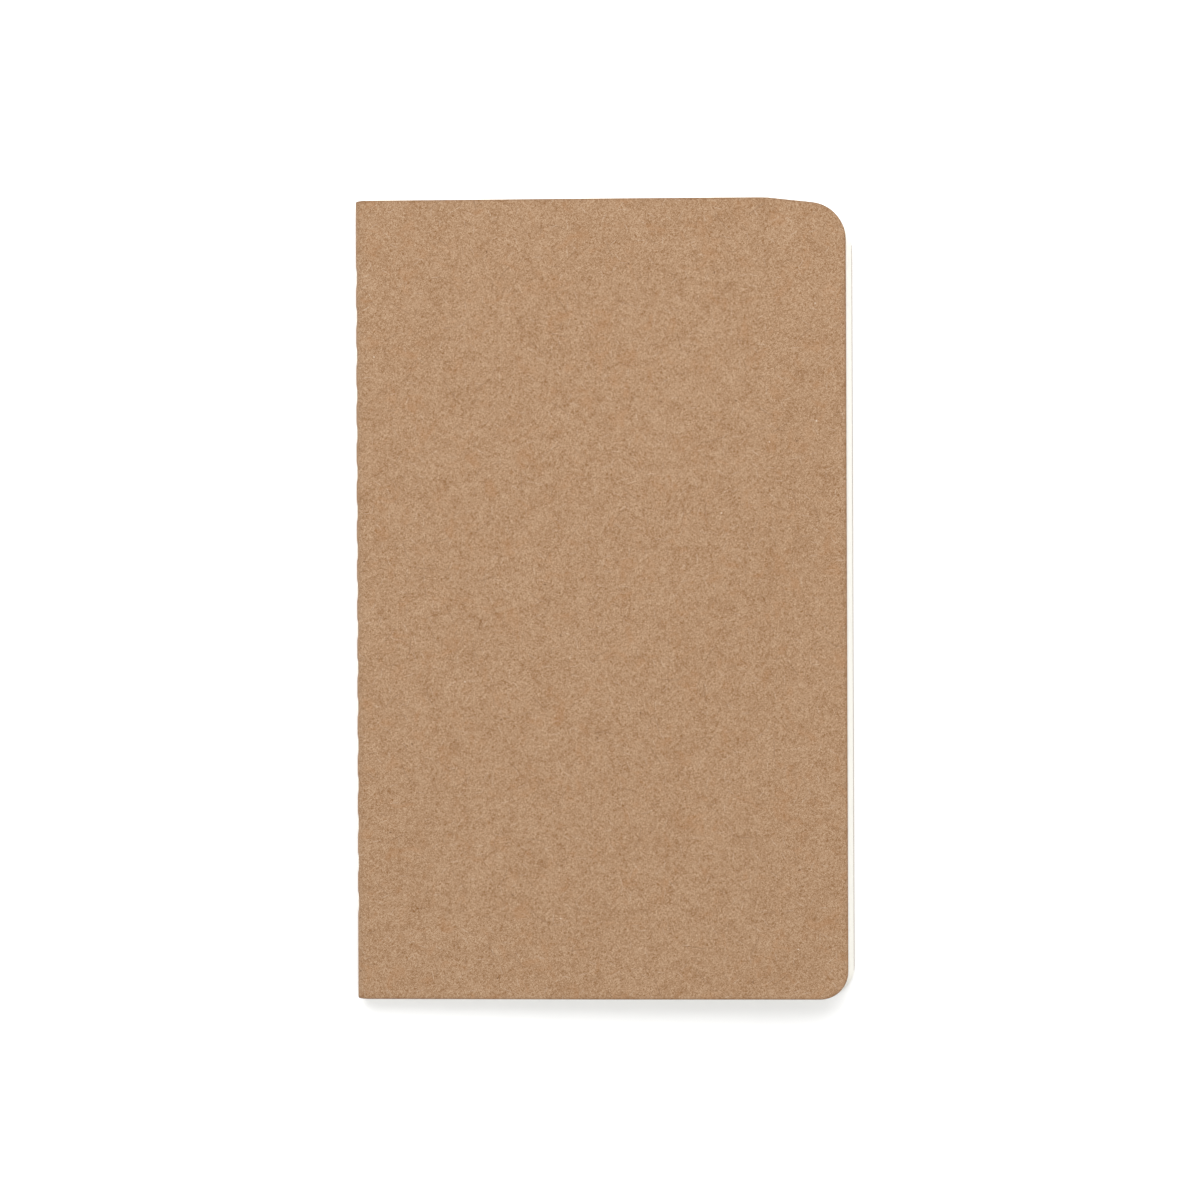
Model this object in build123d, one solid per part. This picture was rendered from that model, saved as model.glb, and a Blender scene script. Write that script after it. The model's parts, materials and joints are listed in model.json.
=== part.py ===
"""Pocket notebook: sixteen folded paper sheets sewn through the fold into a soft card cover.

Frame: +X runs from the spine to the fore-edge, +Y to the head of the page and +Z up from the table.
The origin is under the middle of the whole notebook. Every fold is concentric with one line, the fold
axis, which runs along Y through the innermost stitches. The rear half lies flat on the table and the
front half rests on it, slightly fanned, as a relaxed notebook does.

A sheet is one piece of paper. It is divided at its fold into a front leaf, a rear leaf and the curved
fold between them, so that each front leaf can turn. The cover is divided in the same way.
"""
import os

from build123d import *

# Cover
cover_height = 140.0
overall_width = 87.6
front_cover_setback = 1.7
cover_thickness = 0.40
tail_corner_radius = 4.9
head_corner_radius = 6.6

# Head corner next to the fore-edge, where the trim runs down
corner_trim_length = 14.0
corner_trim_drop = 1.55

# Sheets
sheet_count = 16
leaf_thickness = 0.10
leaf_gap = 0.02
page_fore_inset = 0.30
page_head_fall = 1.0
fore_edge_step = 0.07
leaf_fan_deg = 1.6

# Thread and stitches
thread_diameter = 0.32
thread_sink = 0.02
stitch_length = 3.43
stitch_end_margin = 10.0
stitch_centre_y = 1.75
thread_tail = 3.0
thread_bend_radius = 0.30

# Fits and clearances
thread_clearance = 0.03
hole_clearance = 0.06
cover_gap = 0.05
turning_relief = 0.10
crease_inset = 0.30
crease_rise = 0.05
cover_rest_deg = 2.1

# Worked out from the sizes above
head_y = cover_height / 2
tail_y = -cover_height / 2
spine_x = -overall_width / 2
fore_x = spine_x + overall_width
page_fore_x = fore_x - page_fore_inset
innermost_radius = thread_diameter / 2 + thread_clearance
leaf_pitch = leaf_thickness + leaf_gap
wrap_inner_radius = innermost_radius + sheet_count * leaf_pitch - leaf_gap + cover_gap
wrap_outer_radius = wrap_inner_radius + cover_thickness
axis_x = spine_x + wrap_outer_radius
axis_z = wrap_outer_radius
fold_axis = Axis((axis_x, 0, axis_z), (0, -1, 0))
crease_x = axis_x + crease_inset
crease_z = axis_z + wrap_outer_radius + crease_rise
cover_crease_axis = Axis((crease_x, 0, crease_z), (0, -1, 0))
hole_side = thread_diameter + 2 * hole_clearance
stitched_length = cover_height - 2 * (stitch_end_margin + abs(stitch_centre_y))
outer_stitch_count = int((stitched_length + stitch_length) / (2 * stitch_length))
hole_count = 2 * outer_stitch_count
first_hole_y = stitch_centre_y - stitch_length * (hole_count - 1) / 2


def sheet_radius(sheet):
    """Inner radius of a sheet's fold; sheet 1 is the outermost."""
    return innermost_radius + (sheet_count - sheet) * leaf_pitch


def hole_y(index):
    """Place of one needle hole along the spine."""
    return first_hole_y + index * stitch_length


def panel_outline(start_x, end_x, head_fall):
    """Plan of a leaf or cover panel: square at the spine, round corners at the fore-edge.

    The head edge falls by head_fall from spine to fore-edge, and runs down further at its last corner.
    """
    corner_x = end_x - corner_trim_length
    corner_fall = head_fall * (corner_x - start_x) / (end_x - start_x)
    outline = Polyline(
        (start_x, tail_y),
        (end_x, tail_y),
        (end_x, head_y - head_fall - corner_trim_drop),
        (corner_x, head_y - corner_fall),
        (start_x, head_y),
        close=True,
    )
    face = make_face(outline)
    tail_corner = face.vertices().sort_by(Axis.X)[-2:].sort_by(Axis.Y)[0]
    face = fillet(tail_corner, tail_corner_radius)
    head_corner = face.vertices().sort_by(Axis.X)[-2:].sort_by(Axis.Y)[-1]
    return fillet(head_corner, head_corner_radius)


def panel(start_x, end_x, bottom_z, thickness, head_fall):
    """A flat panel of paper or card with its underside at bottom_z."""
    plan = panel_outline(start_x, end_x, head_fall)
    return Pos(0, 0, bottom_z) * extrude(plan, thickness, dir=(0, 0, 1))


def half_tube(inner_radius, thickness):
    """The curved part of a fold: half of a tube about the fold axis, on the spine side."""
    outer_radius = inner_radius + thickness
    ring = Circle(outer_radius) - Circle(inner_radius)
    spine_side = Pos(-outer_radius, 0) * Rectangle(2 * outer_radius, 4 * outer_radius)
    section = Plane.XZ * (ring & spine_side)
    tube = extrude(section, cover_height / 2, both=True)
    return Pos(axis_x, 0, axis_z) * tube


def needle_holes():
    """The square-cut bodies of all the needle holes, from the fold axis out past the spine."""
    reach = wrap_outer_radius + thread_diameter
    return [
        Pos(axis_x - reach / 2, hole_y(index), axis_z) * Box(reach, hole_side, hole_side)
        for index in range(hole_count)
    ]


def stitch_grooves():
    """The dents that the outer stitches press into the card along the spine."""
    depth = thread_diameter + thread_sink
    grooves = []
    for stitch in range(outer_stitch_count):
        middle_y = (hole_y(2 * stitch) + hole_y(2 * stitch + 1)) / 2
        groove = Box(2 * depth, stitch_length + hole_side, hole_side)
        grooves.append(Pos(spine_x, middle_y, axis_z) * groove)
    return grooves


def front_leaf(sheet):
    """Front leaf of a sheet, raised by its share of the fan. Outer leaves end a little shorter."""
    end_x = page_fore_x - fore_edge_step * (sheet_count - sheet)
    flat = panel(
        axis_x + turning_relief, end_x, axis_z + sheet_radius(sheet), leaf_thickness, page_head_fall
    )
    return flat.rotate(fold_axis, leaf_fan_deg * (sheet_count + 1 - sheet) / sheet_count)


def rear_leaf(sheet):
    """Rear leaf of a sheet, flat on the leaves below it."""
    bottom_z = axis_z - sheet_radius(sheet) - leaf_thickness
    return panel(axis_x, page_fore_x, bottom_z, leaf_thickness, page_head_fall)


def sheet_folds(holes):
    """The curved folds of all the sheets, each a separate solid, with their needle holes."""
    folds = []
    for sheet in range(1, sheet_count + 1):
        fold = half_tube(sheet_radius(sheet), leaf_thickness) - holes
        folds.append(fold)
    return Compound(children=folds)


def cover_spine(holes):
    """The part of the card cover that wraps the spine, with the stitch dents and needle holes."""
    return half_tube(wrap_inner_radius, cover_thickness) - holes - stitch_grooves()


def back_cover():
    """Rear panel of the card cover, flat on the table."""
    return panel(axis_x, fore_x, 0, cover_thickness, page_head_fall)


def front_cover():
    """Front panel of the card cover, lifted a little about its crease."""
    end_x = fore_x - front_cover_setback
    flat = panel(crease_x, end_x, axis_z + wrap_inner_radius, cover_thickness, 0)
    return flat.rotate(cover_crease_axis, cover_rest_deg)


def binding_thread():
    """One thread in a running stitch: outside along every second gap, inside along the others."""
    inside_x = axis_x
    outside_x = spine_x + thread_sink + thread_diameter / 2
    points = [(inside_x, hole_y(0) - thread_tail, axis_z)]
    for index in range(hole_count):
        going_out = index % 2 == 0
        from_x = inside_x if going_out else outside_x
        to_x = outside_x if going_out else inside_x
        points.append((from_x, hole_y(index), axis_z))
        points.append((to_x, hole_y(index), axis_z))
    points.append((inside_x, hole_y(hole_count - 1) + thread_tail, axis_z))
    path = FilletPolyline(*points, radius=thread_bend_radius)
    section = Plane(points[0], z_dir=(0, 1, 0)) * Circle(thread_diameter / 2)
    return sweep(section, path)


os.makedirs("parts", exist_ok=True)
spine_holes = needle_holes()

nodes = {
    "front_cover": front_cover(),
    "back_cover": back_cover(),
    "cover_spine": cover_spine(spine_holes),
    "sheet_folds": sheet_folds(spine_holes),
    "binding_thread": binding_thread(),
}
for sheet in range(1, sheet_count + 1):
    nodes[f"front_leaf_{sheet:02d}"] = front_leaf(sheet)
    nodes[f"rear_leaf_{sheet:02d}"] = rear_leaf(sheet)

for node, shape in nodes.items():
    export_step(shape, f"parts/{node}.step")

print(f"fold axis x {axis_x:.3f} z {axis_z:.3f}, crease x {crease_x:.3f} z {crease_z:.3f}")
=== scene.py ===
"""Looks of a sewn pocket notebook: kraft card cover, plain paper sheets and one binding thread.

Lengths in the settings are in metres. The frame gives the fold axis, the crease, the heights of the
leaves and the outer sizes; the settings hold what the frame doesn't say, such as corner radii.
"""

import json
from math import cos, pi, radians, sin, sqrt

import bpy
import numpy as np
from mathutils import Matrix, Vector


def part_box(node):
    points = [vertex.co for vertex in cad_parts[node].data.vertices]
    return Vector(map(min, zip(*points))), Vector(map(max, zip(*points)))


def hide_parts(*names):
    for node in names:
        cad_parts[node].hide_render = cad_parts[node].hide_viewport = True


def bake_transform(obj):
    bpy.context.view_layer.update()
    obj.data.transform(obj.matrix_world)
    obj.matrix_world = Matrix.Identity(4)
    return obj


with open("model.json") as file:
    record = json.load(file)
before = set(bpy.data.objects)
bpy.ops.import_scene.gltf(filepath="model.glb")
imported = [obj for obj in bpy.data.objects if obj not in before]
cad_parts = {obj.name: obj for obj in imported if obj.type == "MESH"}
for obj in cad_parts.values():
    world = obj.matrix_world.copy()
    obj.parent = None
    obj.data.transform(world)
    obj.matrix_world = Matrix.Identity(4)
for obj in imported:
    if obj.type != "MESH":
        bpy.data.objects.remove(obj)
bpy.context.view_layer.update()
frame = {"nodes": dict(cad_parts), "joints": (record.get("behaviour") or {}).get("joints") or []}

bl_info = {
    "name": "Sewn pocket notebook",
    "version": (1, 0, 0),
    "blender": (4, 5, 0),
    "location": "3D View > Sidebar > Notebook",
    "description": "Builds the card, sheets and thread of a sewn pocket notebook around its frame",
    "category": "Object",
}

MM = 0.001
SHEETS = sum(node.startswith("rear_leaf_") for node in frame["nodes"])


def joint_position(name):
    """Where a joint's axis crosses the middle of the notebook, from the frame."""
    found = [joint for joint in frame["joints"] if joint["name"] == name]
    return np.array(found[0]["pos_m"])


def box_array(node):
    """Lowest and highest corner of a node as two arrays."""
    low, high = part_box(node)
    return np.array(low), np.array(high)


def linear(red, green, blue):
    """Linear colour of an ordinary 0 to 255 screen colour."""
    return tuple(((channel / 255 + 0.055) / 1.055) ** 2.4 for channel in (red, green, blue))


FOLD_AXIS = joint_position("middle_opening")
CREASE = joint_position("front_cover_fold")
CARD_LOW, CARD_HIGH = box_array("back_cover")
SPINE_LOW, SPINE_HIGH = box_array("cover_spine")
THREAD_LOW, THREAD_HIGH = box_array("binding_thread")
CARD_THICKNESS = float(CARD_HIGH[2] - CARD_LOW[2])
WRAP_RADIUS = float(FOLD_AXIS[0] - SPINE_LOW[0])
MIDDLE_RADIUS = WRAP_RADIUS - CARD_THICKNESS / 2
CREASE_RUN = -pi * MIDDLE_RADIUS - 0.3 * MM
CUT_REACH = 0.4 * MM
PAGE_WAVE = 0.03 * MM
STRAND_PITCH = 1.5 * MM
SECTION_POINTS = 24


class NotebookSizes(bpy.types.PropertyGroup):
    """Shapes that a user may change without touching the construction."""

    tail_radius: bpy.props.FloatProperty(
        name="Tail corner radius", description="Radius of the fore-edge corner at the tail",
        default=4.9 * MM, unit="LENGTH",
    )
    head_radius: bpy.props.FloatProperty(
        name="Head corner radius", description="Radius of the fore-edge corner at the head",
        default=6.6 * MM, unit="LENGTH",
    )
    trim_length: bpy.props.FloatProperty(
        name="Corner trim length", description="Length of head edge over which the trim runs down",
        default=14 * MM, unit="LENGTH",
    )
    trim_drop: bpy.props.FloatProperty(
        name="Corner trim drop", description="How far the trim runs down at the fore-edge",
        default=1.55 * MM, unit="LENGTH",
    )
    page_fall: bpy.props.FloatProperty(
        name="Page head fall",
        description="How far the head of the pages falls towards the fore-edge",
        default=1.0 * MM, unit="LENGTH",
    )
    leaf_fan: bpy.props.FloatProperty(
        name="Leaf fan", description="Angle at which the outermost front leaf rests",
        default=radians(1.6), subtype="ANGLE",
    )
    cover_rest: bpy.props.FloatProperty(
        name="Cover rest angle", description="Angle at which the front cover rests",
        default=radians(2.1), subtype="ANGLE",
    )
    crease_rise: bpy.props.FloatProperty(
        name="Crease rise", description="Height of the crease's axis above the card's outer face",
        default=0.05 * MM, unit="LENGTH",
    )
    stitch_length: bpy.props.FloatProperty(
        name="Stitch length", description="Distance between two needle holes",
        default=3.43 * MM, unit="LENGTH",
    )
    stitches: bpy.props.IntProperty(
        name="Outside stitches", description="Stitches that show along the spine", default=17,
    )
    thread_diameter: bpy.props.FloatProperty(
        name="Thread diameter", description="Thickness of the twisted thread",
        default=0.44 * MM, unit="LENGTH",
    )
    thread_proud: bpy.props.FloatProperty(
        name="Thread proud", description="How far the outside stitches stand out of the spine",
        default=0.16 * MM, unit="LENGTH",
    )
    dent_depth: bpy.props.FloatProperty(
        name="Stitch dent", description="How deep the thread presses into the spine",
        default=0.23 * MM, unit="LENGTH",
    )
    card_bow: bpy.props.FloatProperty(
        name="Card bow", description="How far the middle of the front cover bows upwards",
        default=0.25 * MM, unit="LENGTH",
    )


class NotebookColours(bpy.types.PropertyGroup):
    """Colours of the card, the paper and the thread."""

    card_light: bpy.props.FloatVectorProperty(
        name="Card, light pulp", description="Colour of the palest fibres of the card",
        subtype="COLOR", default=linear(164, 137, 110),
    )
    card_dark: bpy.props.FloatVectorProperty(
        name="Card, dark pulp", description="Colour of the darkest fibres of the card",
        subtype="COLOR", default=linear(115, 79, 45),
    )
    card_warm: bpy.props.FloatVectorProperty(
        name="Card, warm patches", description="Colour of the orange patches in the card",
        subtype="COLOR", default=linear(143, 101, 64),
    )
    card_fibre: bpy.props.FloatVectorProperty(
        name="Card, long fibres", description="Colour of the long dark fibres and specks",
        subtype="COLOR", default=linear(90, 60, 37),
    )
    paper: bpy.props.FloatVectorProperty(
        name="Paper", description="Colour of the pages",
        subtype="COLOR", default=linear(239, 237, 230),
    )
    thread: bpy.props.FloatVectorProperty(
        name="Thread", description="Colour of the binding thread",
        subtype="COLOR", default=linear(240, 237, 229),
    )


# Shader maths


class Value:
    """A shader socket that can be used in arithmetic; each operation adds a Math node."""

    def __init__(self, shader, socket):
        self.shader = shader
        self.socket = socket

    def math(self, operation, *others):
        """A Math node with this value first."""
        settings = {"operation": operation}
        inputs = {place: item for place, item in enumerate((self, *others))}
        return self.shader.node("Math", settings, inputs)

    def __add__(self, other):
        return self.math("ADD", other)

    __radd__ = __add__

    def __mul__(self, other):
        return self.math("MULTIPLY", other)

    __rmul__ = __mul__

    def __sub__(self, other):
        return self.math("SUBTRACT", other)

    def __rsub__(self, other):
        return (self * -1) + other

    def clamped(self):
        """The value held between 0 and 1."""
        return self.math("MAXIMUM", 0).math("MINIMUM", 1)

    def step(self, low, high):
        """A smooth step from 0 at low to 1 at high."""
        inputs = {"Value": self, "From Min": low, "From Max": high}
        return self.shader.node("MapRange", {"interpolation_type": "SMOOTHSTEP"}, inputs)


class Shader:
    """A material and the one method that adds its nodes."""

    def __init__(self, name):
        self.material = bpy.data.materials.new(name)
        self.material.use_nodes = True
        self.tree = self.material.node_tree
        self.tree.nodes.clear()

    def node(self, kind, settings=None, inputs=None, output=0):
        """A node of one kind, with its settings first and then its sockets' values or links."""
        made = self.tree.nodes.new("ShaderNode" + kind)
        for name, value in (settings or {}).items():
            setattr(made, name, value)
        for place, value in (inputs or {}).items():
            if isinstance(value, Value):
                self.tree.links.new(value.socket, made.inputs[place])
            else:
                made.inputs[place].default_value = value
        return Value(self, made.outputs[output] if made.outputs else None)

    def mix(self, factor, first, second):
        """A colour that runs from first to second."""
        made = self.node("Mix", {"data_type": "RGBA"}, {"Factor": factor}, 2)
        for place, colour in ((6, first), (7, second)):
            if isinstance(colour, Value):
                self.tree.links.new(colour.socket, made.socket.node.inputs[place])
            else:
                made.socket.node.inputs[place].default_value = (*colour, 1)
        return made

    def noise(self, place, size, detail=2.0, roughness=0.5, shift=0.0, swirl=0.0):
        """Noise about nought, with features of the given size in metres."""
        moved = self.vector("ADD", place, (shift, shift, shift))
        inputs = {"Vector": moved, "Scale": 1 / size, "Detail": detail, "Roughness": roughness,
                  "Distortion": swirl}
        return self.node("TexNoise", {"normalize": True}, inputs) - 0.5

    def vector(self, operation, *values):
        """A Vector Math node."""
        return self.node("VectorMath", {"operation": operation}, dict(enumerate(values)))

    def finish(self, colour, roughness, height, depth):
        """Joins colour, roughness and bump to the surface and returns the material."""
        bump = self.node("Bump", {}, {"Height": height, "Distance": depth, "Strength": 1.0})
        inputs = {"Base Color": colour, "Roughness": roughness, "Normal": bump,
                  "Specular IOR Level": 0.3}
        surface = self.node("BsdfPrincipled", {}, inputs)
        self.node("OutputMaterial", {}, {"Surface": surface})
        return self.material


def fibres(shader, place, cell, length, width, curve, share, shift):
    """Thin curved fibres, one to a cell of a Voronoi pattern.

    Each cell turns its own coordinates by a random angle. The fibre is where the distance from the
    parabola y = curve * x * x is under the width, for x within the length, in a share of the cells.
    """
    moved = shader.vector("ADD", place, (shift, 2 * shift, 0.0))
    settings = {"voronoi_dimensions": "2D", "feature": "F1"}
    inputs = {"Vector": moved, "Scale": 1 / cell, "Randomness": 1.0}
    centre = shader.node("TexVoronoi", settings, inputs, "Position")
    random = Value(shader, centre.socket.node.outputs["Color"])
    parts = shader.node("SeparateColor", {}, {"Color": random})
    turn = Value(shader, parts.socket.node.outputs[0]) * (2 * pi)
    bend = (Value(shader, parts.socket.node.outputs[1]) - 0.5) * (2 * curve)
    chance = Value(shader, parts.socket.node.outputs[2])
    offset = shader.vector("SUBTRACT", moved, centre)
    settings = {"rotation_type": "Z_AXIS"}
    turned = shader.node("VectorRotate", settings, {"Vector": offset, "Angle": turn})
    axes = shader.node("SeparateXYZ", {}, {"Vector": turned})
    along = axes
    across = Value(shader, axes.socket.node.outputs[1])
    distance = (across - bend * along * along).math("ABSOLUTE")
    line = 1 - distance.step(width * 0.4, width)
    ends = 1 - along.math("ABSOLUTE").step(length * 0.3, length * 0.5)
    return line * ends * (1 - chance.step(share, share + 0.02))


def kraft_card(colours):
    """Uncoated kraft card: grain, mottled pulp, warm patches, curved fibres, specks, cut edges."""
    shader = Shader("kraft card")
    place = shader.node("Attribute", {"attribute_name": "card_plane"}, {}, "Vector")
    rim = shader.node("Attribute", {"attribute_name": "rim"}, {}, "Fac")
    settings = {"rotation_type": "Z_AXIS"}
    turned = shader.node("VectorRotate", settings, {"Vector": place, "Angle": 0.62}, "Vector")
    grain = shader.noise(turned, 0.26 * MM, 3, 0.75, 0.0, 1.6)
    coarse = shader.noise(turned, 0.9 * MM, 3, 0.6, 0.3, 1.2)
    pulp = shader.noise(turned, 4 * MM, 3, 0.6, 0.7, 0.6)
    cloud = shader.noise(turned, 24 * MM, 2, 0.5, 1.1)
    tone = 0.5 + grain * 5.0 + coarse * 0.85 + pulp * 0.45 + cloud * 0.1
    body = shader.mix(tone.clamped(), colours.card_dark, colours.card_light)
    patch = shader.noise(turned, 3.5 * MM, 4, 0.65, 1.9, 0.8).step(0.02, 0.2) * 0.3
    body = shader.mix(patch, body, colours.card_warm)
    long_dark = fibres(shader, place, 8 * MM, 4.4 * MM, 0.10 * MM, 120, 0.4, 0.0)
    short_dark = fibres(shader, place, 3.4 * MM, 1.9 * MM, 0.09 * MM, 260, 0.5, 0.21)
    pale = fibres(shader, place, 3.0 * MM, 1.7 * MM, 0.09 * MM, 240, 0.55, 0.43)
    speck = fibres(shader, place, 13 * MM, 0.5 * MM, 0.14 * MM, 10, 0.25, 0.61)
    white_speck = fibres(shader, place, 17 * MM, 0.34 * MM, 0.13 * MM, 10, 0.3, 0.83)
    dark = (long_dark * 0.34 + short_dark * 0.3 + speck * 0.8 + rim * 0.45).clamped()
    body = shader.mix(dark, body, colours.card_fibre)
    light = (pale * 0.2 + white_speck * 0.8).clamped()
    body = shader.mix(light, body, linear(192, 176, 158))
    roughness = 0.86 + grain * 0.2
    height = grain * 0.9 + coarse * 0.8 + pale * 0.25 + long_dark * 0.3 - short_dark * 0.2
    return shader.finish(body, roughness, height, 0.035 * MM)


def plain_paper(colours):
    """Smooth uncoated paper with a faint cloudy pulp and small pale and grey fibres."""
    shader = Shader("plain paper")
    place = shader.node("TexCoord", {}, {}, "Object")
    fine = shader.noise(place, 0.3 * MM, 2, 0.5)
    cloud = shader.noise(place, 6 * MM, 3, 0.5, 0.5)
    tone = (0.3 + fine * 0.5 + cloud * 0.5).clamped()
    shade = tuple(channel * 0.93 for channel in colours.paper)
    fibre = fibres(shader, place, 2.6 * MM, 1.3 * MM, 0.06 * MM, 300, 0.5, 0.3) * 0.05
    body = shader.mix(tone * 0.5, colours.paper, shade)
    body = shader.mix(fibre, body, linear(190, 182, 165))
    return shader.finish(body, 0.82 + fine * 0.1, fine + fibre * 2, 0.012 * MM)


def waxed_thread(colours):
    """White waxed thread: fine strands along the twist, darkened a little between them as painted
    shade.
    """
    shader = Shader("waxed thread")
    strand = shader.node("Attribute", {"attribute_name": "strand"}, {}, "Vector")
    fine = shader.noise(strand, 0.5, 3, 0.6)
    groove = shader.node("Attribute", {"attribute_name": "groove"}, {}, "Fac")
    shade = tuple(channel * 0.62 for channel in colours.thread)
    # Painted shade: the colour darkens towards the grooves between the strands.
    body = shader.mix((groove * 0.6 + fine * 0.3).clamped(), colours.thread, shade)
    return shader.finish(body, 0.55 + fine * 0.2, fine, 0.03 * MM)


def studio_floor():
    """Plain white table top with a very slight unevenness in its roughness."""
    shader = Shader("white table")
    place = shader.node("TexCoord", {}, {}, "Object")
    fine = shader.noise(place, 4 * MM)
    return shader.finish((0.905, 0.905, 0.9, 1), 0.7 + fine * 0.05, fine, 0.001 * MM)


# Surfaces


def grid_faces(index):
    """Quads between neighbouring rows and columns of an array of vertex numbers."""
    quads = np.stack([index[:-1, :-1], index[1:, :-1], index[1:, 1:], index[:-1, 1:]], -1)
    return quads.reshape(-1, 4)


def border(index):
    """Vertex numbers once round the edge of a grid."""
    return np.concatenate([index[0, :], index[1:, -1], index[-1, -2::-1], index[-2:0:-1, 0]])


def signed_volume(points, quads):
    """Volume enclosed by quads, negative where they face inwards: sum of a . (b x c) / 6."""
    first = np.concatenate([quads[:, [0, 1, 2]], quads[:, [0, 2, 3]]])
    a, b, c = (points[first[:, corner]] for corner in range(3))
    return float((a * np.cross(b, c)).sum() / 6)


def make_piece(name, points, quads, material, attributes):
    """A mesh object from arrays, faces outwards, smooth except at sharp edges."""
    if signed_volume(points, quads) < 0:
        quads = quads[:, ::-1]
    mesh = bpy.data.meshes.new(name)
    mesh.from_pydata(points.tolist(), [], quads.tolist())
    mesh.polygons.foreach_set("use_smooth", np.ones(len(quads), bool))
    mesh.set_sharp_from_angle(angle=radians(50))
    for label, (kind, key, values) in attributes.items():
        layer = mesh.attributes.new(label, kind, "POINT")
        layer.data.foreach_set(key, np.ascontiguousarray(values, np.float32).ravel())
    mesh.materials.append(material)
    piece = bpy.data.objects.new(name, mesh)
    bpy.context.scene.collection.objects.link(piece)
    return piece


def slab(outer, inner):
    """Points and quads of a closed thin body between two grids of the same shape."""
    rows, columns = outer.shape[:2]
    index = np.arange(rows * columns).reshape(rows, columns)
    other = index + rows * columns
    ring, other_ring = border(index), border(other)
    side = np.stack([ring, other_ring, np.roll(other_ring, -1), np.roll(ring, -1)], -1)
    quads = np.concatenate([grid_faces(index), grid_faces(other)[:, ::-1], side[:, ::-1]])
    return np.concatenate([outer.reshape(-1, 3), inner.reshape(-1, 3)]), quads


def edge_heights(along, length, head, tail, fall, sizes):
    """Tail and head edge of a panel at a distance from the fold.

    The head edge is a line that falls evenly, then faster over the corner trim. Both corners are
    quarter circles that touch the fore-edge and the line before them.
    """
    tail_radius, head_radius = sizes.tail_radius, sizes.head_radius
    slope = (sizes.trim_drop + fall * sizes.trim_length / length) / sizes.trim_length
    centre = length - head_radius
    trimmed = np.clip((along - length + sizes.trim_length) / sizes.trim_length, 0, 1)
    line = head - fall * along / length - sizes.trim_drop * trimmed
    before = (centre - length + sizes.trim_length) / sizes.trim_length
    line_at_centre = head - fall * centre / length - sizes.trim_drop * before
    head_centre = line_at_centre - head_radius * sqrt(1 + slope * slope)
    touch = centre + head_radius * slope / sqrt(1 + slope * slope)
    head_arc = np.sqrt(np.clip(head_radius**2 - (along - centre) ** 2, 0, None))
    head_edge = np.where(along < touch, line, head_centre + head_arc)
    tail_centre = length - tail_radius
    tail_arc = np.sqrt(np.clip(tail_radius**2 - (along - tail_centre) ** 2, 0, None))
    tail_edge = np.where(along < tail_centre, tail, tail + tail_radius - tail_arc)
    return tail_edge, head_edge


def panel_steps(length, sizes, count):
    """Distances from the fold: even steps, then the sines of even angles round the corner."""
    radius = max(sizes.tail_radius, sizes.head_radius)
    flat = np.linspace(0, length - radius, count)
    corner = length - radius + radius * np.sin(np.linspace(0, pi / 2, 17)[1:])
    return np.concatenate([flat, corner])


def cross_steps(count):
    """Fractions across the panel, closer together at both edges."""
    edge = np.array([0, 0.0008, 0.002, 0.004])
    return np.concatenate([edge, np.linspace(0.008, 0.992, count), 1 - edge[::-1]])


def hole_places(sizes):
    """Y of each needle hole, evenly spaced about the middle of the thread."""
    holes = 2 * sizes.stitches
    middle = (THREAD_LOW[1] + THREAD_HIGH[1]) / 2
    return middle + (np.arange(holes) - (holes - 1) / 2) * sizes.stitch_length


def stitch_dent(height, angle, sizes):
    """Depth of the spine's dents: smooth hollows under the outside stitches, a pit at each hole.

    Along the spine each hollow is a raised cosine to the power 0.7 over one stitch; round the spine
    it fades as a bell curve about the middle of the wrap.
    """
    holes = hole_places(sizes)
    phase = (height - holes[0]) / sizes.stitch_length
    inside = (phase > 0) & (phase < len(holes) - 1)
    wave = np.clip(np.sin(pi * phase), 0, None) * inside * (np.floor(phase) % 2 == 0)
    hollow = wave**0.7 * np.exp(-(((angle - pi) / 0.42) ** 2))
    nearest = np.clip(np.round(phase), 0, len(holes) - 1)
    away = (phase - nearest) * sizes.stitch_length / (0.26 * MM)
    pit = np.exp(-(away**2)) * np.exp(-(((angle - pi) / 0.11) ** 2))
    return sizes.dent_depth * np.clip(hollow + 0.75 * pit, 0, 1.15)


def leaf_number(name, sheet):
    """Node name of one leaf."""
    return f"{name}_leaf_{sheet:02d}"


def fold_profile(radius, start, end, count):
    """Points and outward directions of an arc about the fold axis, between two angles."""
    angle = np.linspace(start, end, count)
    outward = np.stack([np.cos(angle), np.zeros_like(angle), np.sin(angle)], -1)
    return FOLD_AXIS + radius * outward, outward, angle


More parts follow.
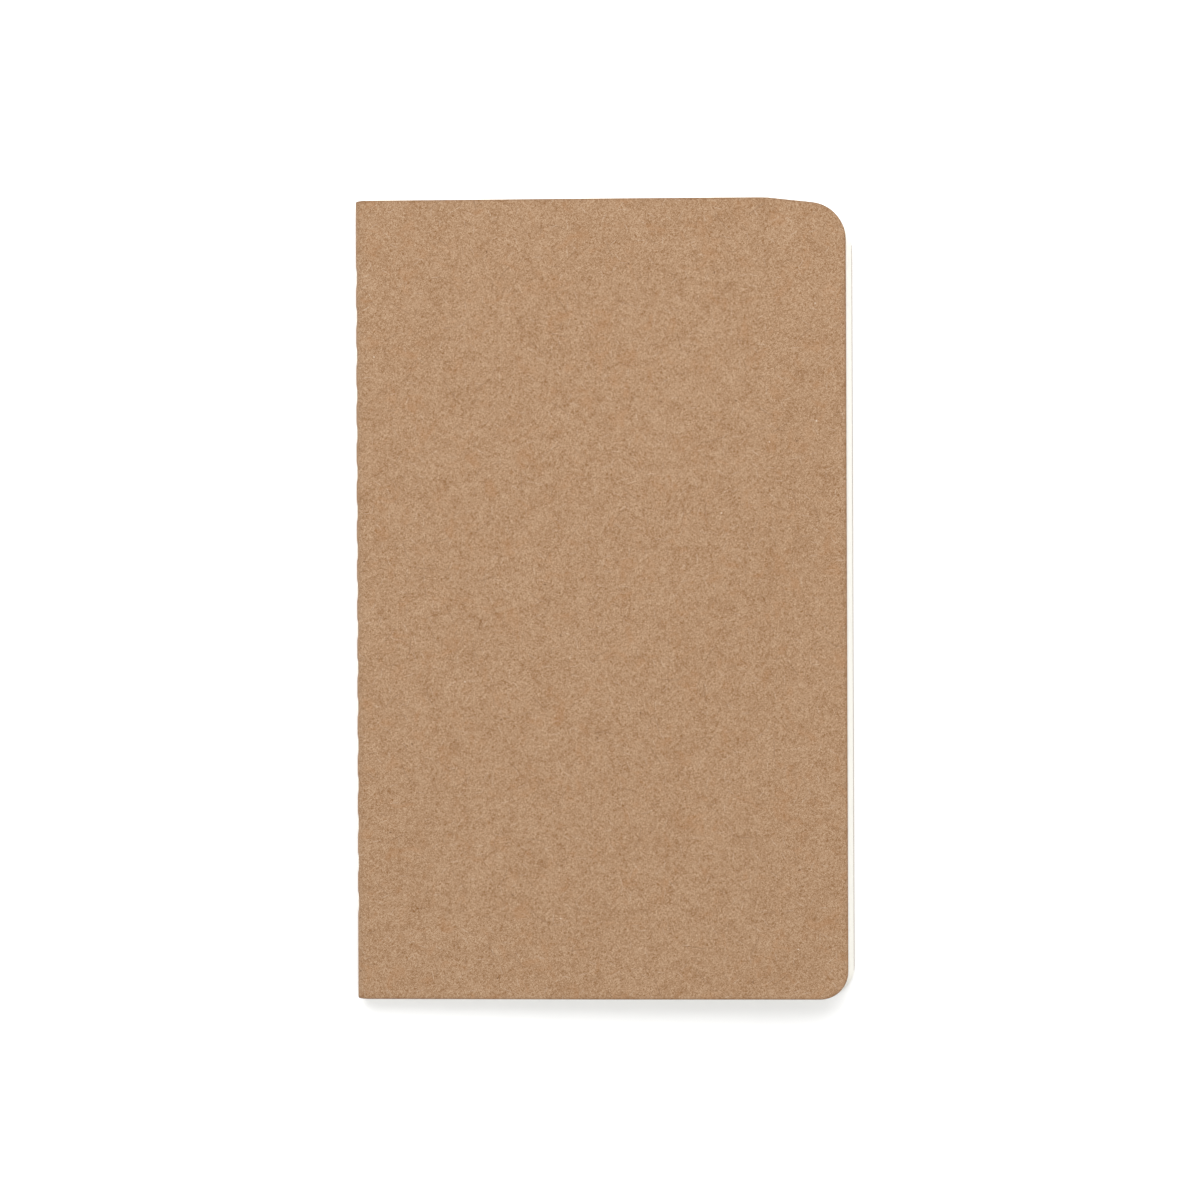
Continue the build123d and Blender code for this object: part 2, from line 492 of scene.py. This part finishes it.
def sheet_surface(sheet, sizes, random):
    """One folded sheet: rear leaf, fold and front leaf as one profile carried from tail to head.

    The profile is a line along the rear leaf, an arc about the fold axis and a line along the front
    leaf at its share of the fan. The front leaf waves by a few hundredths of a millimetre.
    """
    low, high = box_array(leaf_number("rear", sheet))
    _, front_high = box_array(leaf_number("front", sheet))
    thickness = high[2] - low[2]
    inner = FOLD_AXIS[2] - high[2]
    middle = inner + thickness / 2
    fan = sizes.leaf_fan * (SHEETS + 1 - sheet) / SHEETS
    rear_length = high[0] - FOLD_AXIS[0]
    front_length = (front_high[0] - FOLD_AXIS[0] + inner * sin(fan)) / cos(fan)
    rear = panel_steps(rear_length, sizes, 12)[::-1]
    front = panel_steps(front_length, sizes, 16)
    arc, arc_out, angle = fold_profile(middle, 1.5 * pi, pi / 2 + fan, 15)
    down = np.array([0, 0, -1.0])
    up = np.array([-sin(fan), 0, cos(fan)])
    way = np.array([cos(fan), 0, sin(fan)])
    rear_line = FOLD_AXIS + down * middle + rear[:, None] * np.array([1.0, 0, 0])
    front_line = FOLD_AXIS + up * middle + front[:, None] * way
    line = np.concatenate([rear_line[:-1], arc, front_line[1:]])
    outward = np.concatenate([np.tile(down, (len(rear) - 1, 1)), arc_out,
                              np.tile(up, (len(front) - 1, 1))])
    rear_edges = edge_heights(rear[:-1], rear_length, high[1], low[1], sizes.page_fall, sizes)
    front_edges = edge_heights(front[1:], front_length, high[1], low[1], sizes.page_fall, sizes)
    fold_edges = (np.full(len(arc), low[1]), np.full(len(arc), high[1]))
    tail, head = (np.concatenate(part) for part in zip(rear_edges, fold_edges, front_edges))
    across = np.linspace(0, 1, 201)
    height = tail[:, None] + (head - tail)[:, None] * across
    angles = np.concatenate([np.zeros(len(rear) - 1), angle, np.zeros(len(front) - 1)])
    share = (inner - thickness) / WRAP_RADIUS
    dent = stitch_dent(height, angles[:, None], sizes) * max(share, 0)
    progress = np.concatenate([np.zeros(len(rear) - 1 + len(arc)), front[1:] / front_length])
    phase, pitch = random.uniform(0, 2 * pi), random.uniform(1.2, 2.2)
    wave = PAGE_WAVE * progress[:, None] ** 2 * np.sin(pitch * pi * across + phase)
    offset = (wave - dent)[:, :, None] * outward[:, None, :]
    centre = np.repeat(line[:, None, :], len(across), 1) + offset
    centre[:, :, 1] = height
    half = outward[:, None, :] * thickness / 2
    return centre + half, centre - half, inner


def card_attributes(distance, height, rim):
    """Attributes of a card grid's two faces: place on the flat card, and nearness to a cut edge."""
    outer = np.stack([distance, height, np.zeros_like(height)], -1).reshape(-1, 3)
    inner = outer + np.array([0.4, 0.3, 0])
    near = np.tile(rim.ravel(), 2)
    return {"card_plane": ("FLOAT_VECTOR", "vector", np.concatenate([outer, inner])),
            "rim": ("FLOAT", "value", near)}


def card_slab(centre, outward, rim):
    """Outer and inner face of the card, thinned by a third right at its cut edges."""
    half = CARD_THICKNESS / 2 * (1 - 0.34 * rim[:, :, None] ** 3)
    return centre + outward * half, centre - outward * half


def rim_nearness(height, tail, head, to_fore):
    """1 at a cut edge, falling evenly to 0 at the reach of the cut inside it."""
    ends = np.minimum(height - tail[:, None], head[:, None] - height)
    nearest = np.minimum(ends, to_fore[:, None])
    return np.clip(1 - nearest / CUT_REACH, 0, 1)


def spine_surface(sizes):
    """Back panel and spine as one profile: a line, half a circle about the fold axis, a line."""
    length = CARD_HIGH[0] - FOLD_AXIS[0]
    back = panel_steps(length, sizes, 10)
    back = np.sort(np.append(back, length - CUT_REACH))[::-1]
    arc, arc_out, angle = fold_profile(MIDDLE_RADIUS, 1.5 * pi, pi / 2, 37)
    flat = FOLD_AXIS - np.array([0, 0, MIDDLE_RADIUS])
    back_line = flat + back[:, None] * np.array([1.0, 0, 0])
    lip = np.array([[CREASE[0], 0, FOLD_AXIS[2] + MIDDLE_RADIUS]])
    line = np.concatenate([back_line[:-1], arc, lip])
    outward = np.concatenate([np.tile([0, 0, -1.0], (len(back) - 1, 1)), arc_out, [[0, 0, 1.0]]])
    tail, head = edge_heights(back[:-1], length, CARD_HIGH[1], CARD_LOW[1], sizes.page_fall, sizes)
    rest = len(arc) + 1
    tail = np.concatenate([tail, np.full(rest, CARD_LOW[1])])
    head = np.concatenate([head, np.full(rest, CARD_HIGH[1])])
    across = cross_steps(520)
    height = tail[:, None] + (head - tail)[:, None] * across
    angles = np.concatenate([np.zeros(len(back) - 1), angle, [0]])
    dent = stitch_dent(height, angles[:, None], sizes)
    centre = np.repeat(line[:, None, :], len(across), 1) - dent[:, :, None] * outward[:, None, :]
    centre[:, :, 1] = height
    run = np.concatenate([back[:-1], -(1.5 * pi - angle) * MIDDLE_RADIUS, [CREASE_RUN]])
    to_fore = np.concatenate([length - back[:-1], np.full(rest, 1.0)])
    rim = rim_nearness(height, tail, head, to_fore)
    distance = np.repeat(run[:, None], len(across), 1)
    return card_slab(centre, outward[:, None, :], rim), card_attributes(distance, height, rim)


def front_surface(sizes):
    """Front panel: a line from the crease at the rest angle, bowed up as a squared half sine."""
    low, high = box_array("front_cover")
    rise = sizes.cover_rest
    depth = sizes.crease_rise + CARD_THICKNESS / 2
    up = np.array([-sin(rise), 0, cos(rise)])
    way = np.array([cos(rise), 0, sin(rise)])
    length = (high[0] - CREASE[0] - sizes.crease_rise * sin(rise)) / cos(rise)
    along = panel_steps(length, sizes, 44)
    at_crease = [0.4 * MM, 0.8 * MM, 1.2 * MM, 1.6 * MM]
    along = np.sort(np.append(along, [*at_crease, length - 0.05 * MM]))
    tail, head = edge_heights(along, length, high[1], low[1], 0, sizes)
    across = cross_steps(90)
    height = tail[:, None] + (head - tail)[:, None] * across
    bow = sizes.card_bow * np.sin(pi * np.clip(along / length, 0, 1)) ** 2
    line = CREASE - up * depth + along[:, None] * way + bow[:, None] * up
    centre = np.repeat(line[:, None, :], len(across), 1)
    centre[:, :, 1] = height
    rim = rim_nearness(height, tail, head, length - along)
    distance = np.repeat((CREASE_RUN - along)[:, None], len(across), 1)
    return card_slab(centre, up[None, None, :], rim), card_attributes(distance, height, rim)


def thread_route(sizes):
    """Centre line of the running stitch, its corners cut off four times over to round them."""
    holes = hole_places(sizes)
    inside = FOLD_AXIS[0]
    outside = SPINE_LOW[0] + sizes.thread_diameter / 2 - sizes.thread_proud
    out_first = np.arange(len(holes)) % 2 == 0
    x = np.stack([np.where(out_first, inside, outside), np.where(out_first, outside, inside)], -1)
    x = np.concatenate([[inside], x.ravel(), [inside]])
    y = np.concatenate([[THREAD_LOW[1]], np.repeat(holes, 2), [THREAD_HIGH[1]]])
    route = np.stack([x, y], -1)
    for _ in range(4):
        near = 0.75 * route[:-1] + 0.25 * route[1:]
        far = 0.25 * route[:-1] + 0.75 * route[1:]
        route = np.stack([near, far], 1).reshape(-1, 2)
    return route


def thread_surface(sizes):
    """The thread: a three-strand rope section carried along its route and turned with distance.

    The section's radius is 0.84 plus 0.16 times the size of the cosine of one and a half times the
    angle, which gives three round strands.
    """
    route = thread_route(sizes)
    step = np.gradient(route, axis=0)
    step /= np.linalg.norm(step, axis=1)[:, None]
    distance = np.concatenate([[0], np.cumsum(np.linalg.norm(np.diff(route, axis=0), axis=1))])
    around = np.linspace(0, 2 * pi, SECTION_POINTS, endpoint=False)
    twist = 2 * pi * distance[:, None] / STRAND_PITCH
    strand = np.abs(np.cos(1.5 * (around[None, :] + twist)))
    radius = sizes.thread_diameter / 2 * (0.84 + 0.16 * strand)
    sideways = radius * np.cos(around)
    points = np.empty((len(route), len(around), 3))
    points[:, :, 0] = route[:, None, 0] - sideways * step[:, None, 1]
    points[:, :, 1] = route[:, None, 1] + sideways * step[:, None, 0]
    points[:, :, 2] = FOLD_AXIS[2] + radius * np.sin(around)
    index = np.arange(points[:, :, 0].size).reshape(len(route), len(around))
    quads = grid_faces(np.concatenate([index, index[:, :1]], 1))
    ends = np.array([[*route[0], FOLD_AXIS[2]], [*route[-1], FOLD_AXIS[2]]])
    count = index.size
    first, last = index[0], index[-1]
    caps = np.concatenate([np.stack([np.roll(first, -1), first, np.full_like(first, count)], -1),
                           np.stack([last, np.roll(last, -1), np.full_like(last, count + 1)], -1)])
    lengthways = np.repeat(distance[:, None] * 400, SECTION_POINTS, 1)
    place = np.stack([lengthways, 3 * (around + twist) / pi, np.zeros_like(strand)], -1)
    place = place.reshape(-1, 3)
    place = np.concatenate([place, np.zeros((2, 3))])
    # Mask for the painted shade in the grooves between the strands.
    groove = np.concatenate([(1 - strand).ravel() ** 2, [0, 0]])
    return np.concatenate([points.reshape(-1, 3), ends]), quads, caps, place, groove


# Operators


class NOTEBOOK_OT_sheets(bpy.types.Operator):
    """Make the folded paper sheets"""

    bl_idname = "notebook.sheets"
    bl_label = "Paper sheets"

    def execute(self, context):
        sizes = context.scene.notebook_sizes
        paper = plain_paper(context.scene.notebook_colours)
        random = np.random.default_rng(7)
        for sheet in range(1, SHEETS + 1):
            outer, inner, radius = sheet_surface(sheet, sizes, random)
            points, quads = slab(outer, inner)
            piece = make_piece(f"sheet_{sheet:02d}", points, quads, paper, {})
            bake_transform(piece)
            nodes = [leaf_number("rear", sheet), leaf_number("front", sheet), "sheet_folds"]
            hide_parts(*nodes)
        return {"FINISHED"}


class NOTEBOOK_OT_cover(bpy.types.Operator):
    """Make the card cover: the back panel with the spine, and the front panel"""

    bl_idname = "notebook.cover"
    bl_label = "Card cover"

    def execute(self, context):
        sizes = context.scene.notebook_sizes
        card = kraft_card(context.scene.notebook_colours)
        faces, attributes = spine_surface(sizes)
        points, quads = slab(*faces)
        spine = make_piece("back_panel_and_spine", points, quads, card, attributes)
        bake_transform(spine)
        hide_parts("back_cover", "cover_spine")
        faces, attributes = front_surface(sizes)
        points, quads = slab(*faces)
        front = make_piece("front_panel", points, quads, card, attributes)
        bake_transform(front)
        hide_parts("front_cover")
        return {"FINISHED"}


class NOTEBOOK_OT_thread(bpy.types.Operator):
    """Make the twisted binding thread in its running stitch"""

    bl_idname = "notebook.thread"
    bl_label = "Binding thread"

    def execute(self, context):
        material = waxed_thread(context.scene.notebook_colours)
        points, quads, caps, place, groove = thread_surface(context.scene.notebook_sizes)
        mesh = bpy.data.meshes.new("stitched_thread")
        mesh.from_pydata(points.tolist(), [], quads.tolist() + caps.tolist())
        mesh.polygons.foreach_set("use_smooth", np.ones(len(mesh.polygons), bool))
        for label, kind, key, values in (("strand", "FLOAT_VECTOR", "vector", place),
                                         ("groove", "FLOAT", "value", groove)):
            layer = mesh.attributes.new(label, kind, "POINT")
            layer.data.foreach_set(key, np.ascontiguousarray(values, np.float32).ravel())
        mesh.materials.append(material)
        piece = bpy.data.objects.new("stitched_thread", mesh)
        context.scene.collection.objects.link(piece)
        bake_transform(piece)
        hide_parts("binding_thread")
        return {"FINISHED"}


def add_light(name, place, size, watts):
    """A square area light that points at the notebook."""
    data = bpy.data.lights.new(name, "AREA")
    data.shape = "SQUARE"
    data.size = size
    data.energy = watts
    light = bpy.data.objects.new(name, data)
    bpy.context.scene.collection.objects.link(light)
    light.location = place
    towards = -Vector(place)
    light.rotation_euler = towards.to_track_quat("-Z", "Y").to_euler()


class NOTEBOOK_OT_stage(bpy.types.Operator):
    """Set out the table, the soft light and the camera straight above"""

    bl_idname = "notebook.stage"
    bl_label = "Table, light and camera"

    def execute(self, context):
        scene = context.scene
        half = 2.0
        corners = np.array([[-half, -half, 0], [half, -half, 0], [half, half, 0], [-half, half, 0]])
        mesh = bpy.data.meshes.new("table_top")
        mesh.from_pydata(corners.tolist(), [], [[0, 1, 2, 3]])
        mesh.materials.append(studio_floor())
        table = bpy.data.objects.new("table_top", mesh)
        scene.collection.objects.link(table)
        add_light("softbox at the head", (-0.1, 0.76, 0.72), 1.15, 14.8)
        world = bpy.data.worlds.new("white studio")
        world.use_nodes = True
        world.node_tree.nodes["Background"].inputs["Color"].default_value = (1, 1, 1, 1)
        world.node_tree.nodes["Background"].inputs["Strength"].default_value = 1.0
        scene.world = world
        scene.view_settings.view_transform = "Standard"
        camera_height = 0.505
        view_width = 0.2104
        view_distance = camera_height - 2 * FOLD_AXIS[2]
        data = bpy.data.cameras.new("camera above")
        data.lens = data.sensor_width * view_distance / view_width
        camera = bpy.data.objects.new("camera above", data)
        scene.collection.objects.link(camera)
        camera.location = (-0.99 * MM, -0.18 * MM, camera_height)
        camera.rotation_euler = (0, 0, radians(-0.2))
        scene.camera = camera
        return {"FINISHED"}


class NOTEBOOK_PT_panel(bpy.types.Panel):
    """Sidebar panel with the steps that build the notebook"""

    bl_idname = "NOTEBOOK_PT_panel"
    bl_label = "Notebook"
    bl_space_type = "VIEW_3D"
    bl_region_type = "UI"
    bl_category = "Notebook"

    def draw(self, context):
        for operator in OPERATORS:
            self.layout.operator(operator.bl_idname)
        for group in (context.scene.notebook_sizes, context.scene.notebook_colours):
            for name in group.bl_rna.properties.keys():
                if name not in ("rna_type", "name"):
                    self.layout.prop(group, name)


OPERATORS = (NOTEBOOK_OT_sheets, NOTEBOOK_OT_cover, NOTEBOOK_OT_thread, NOTEBOOK_OT_stage)
CLASSES = (NotebookSizes, NotebookColours, *OPERATORS, NOTEBOOK_PT_panel)


def register():
    """Adds the classes and the settings."""
    for item in CLASSES:
        bpy.utils.register_class(item)
    bpy.types.Scene.notebook_sizes = bpy.props.PointerProperty(type=NotebookSizes)
    bpy.types.Scene.notebook_colours = bpy.props.PointerProperty(type=NotebookColours)


def unregister():
    """Removes the settings and the classes."""
    del bpy.types.Scene.notebook_sizes
    del bpy.types.Scene.notebook_colours
    for item in reversed(CLASSES):
        bpy.utils.unregister_class(item)


def main():
    """Builds every piece and the stage."""
    register()
    bpy.ops.notebook.sheets()
    bpy.ops.notebook.cover()
    bpy.ops.notebook.thread()
    bpy.ops.notebook.stage()


if __name__ == "__main__":
    main()
